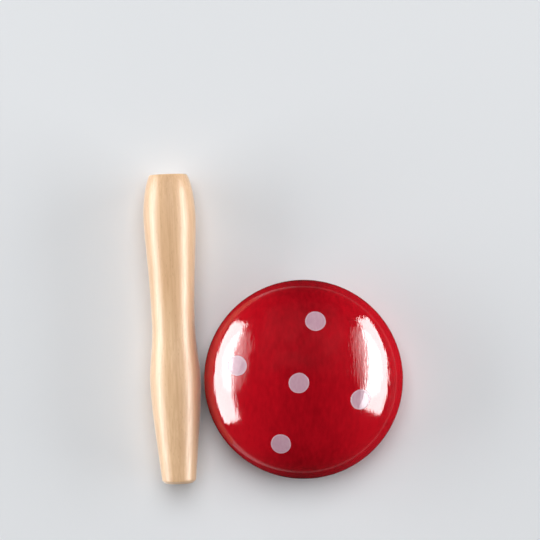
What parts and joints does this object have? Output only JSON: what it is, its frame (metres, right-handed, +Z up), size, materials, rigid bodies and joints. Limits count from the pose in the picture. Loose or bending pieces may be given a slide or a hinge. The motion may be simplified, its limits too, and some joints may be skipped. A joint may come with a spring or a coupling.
{
  "type": "darning mushroom",
  "caption": "Turned wooden darning mushroom, unassembled: red lacquered dome cap with pale polka dots and a tapered socket beneath, beside its waisted bare-wood stem with a tapered plug end.",
  "frame": {"origin": "middle of the footprint of the two pieces together, on the surface that they lie on", "axes": "+Z up, out of the cap's dome; +Y along the length of the footprint, within a few degrees of the stem's axis, towards the stem's butt; +X from the stem towards the cap"},
  "size_m": [0.0784, 0.0934, 0.02],
  "materials": {
    "red_lacquered_wood": "glossy red lacquer over turned wood, with pale painted dots; bare wood on the base",
    "bare_beech": "smooth sanded pale beech, thin clear satin seal"
  },
  "bodies": {
    "cap": {"cap": "red_lacquered_wood"},
    "stem": {"stem": "bare_beech"}
  },
  "joints": [
    {"name": "stem_lift", "type": "slide", "parent": "cap", "child": "stem", "axis": [0, 0, 1], "range_m": [0, 0.12]}
  ]
}
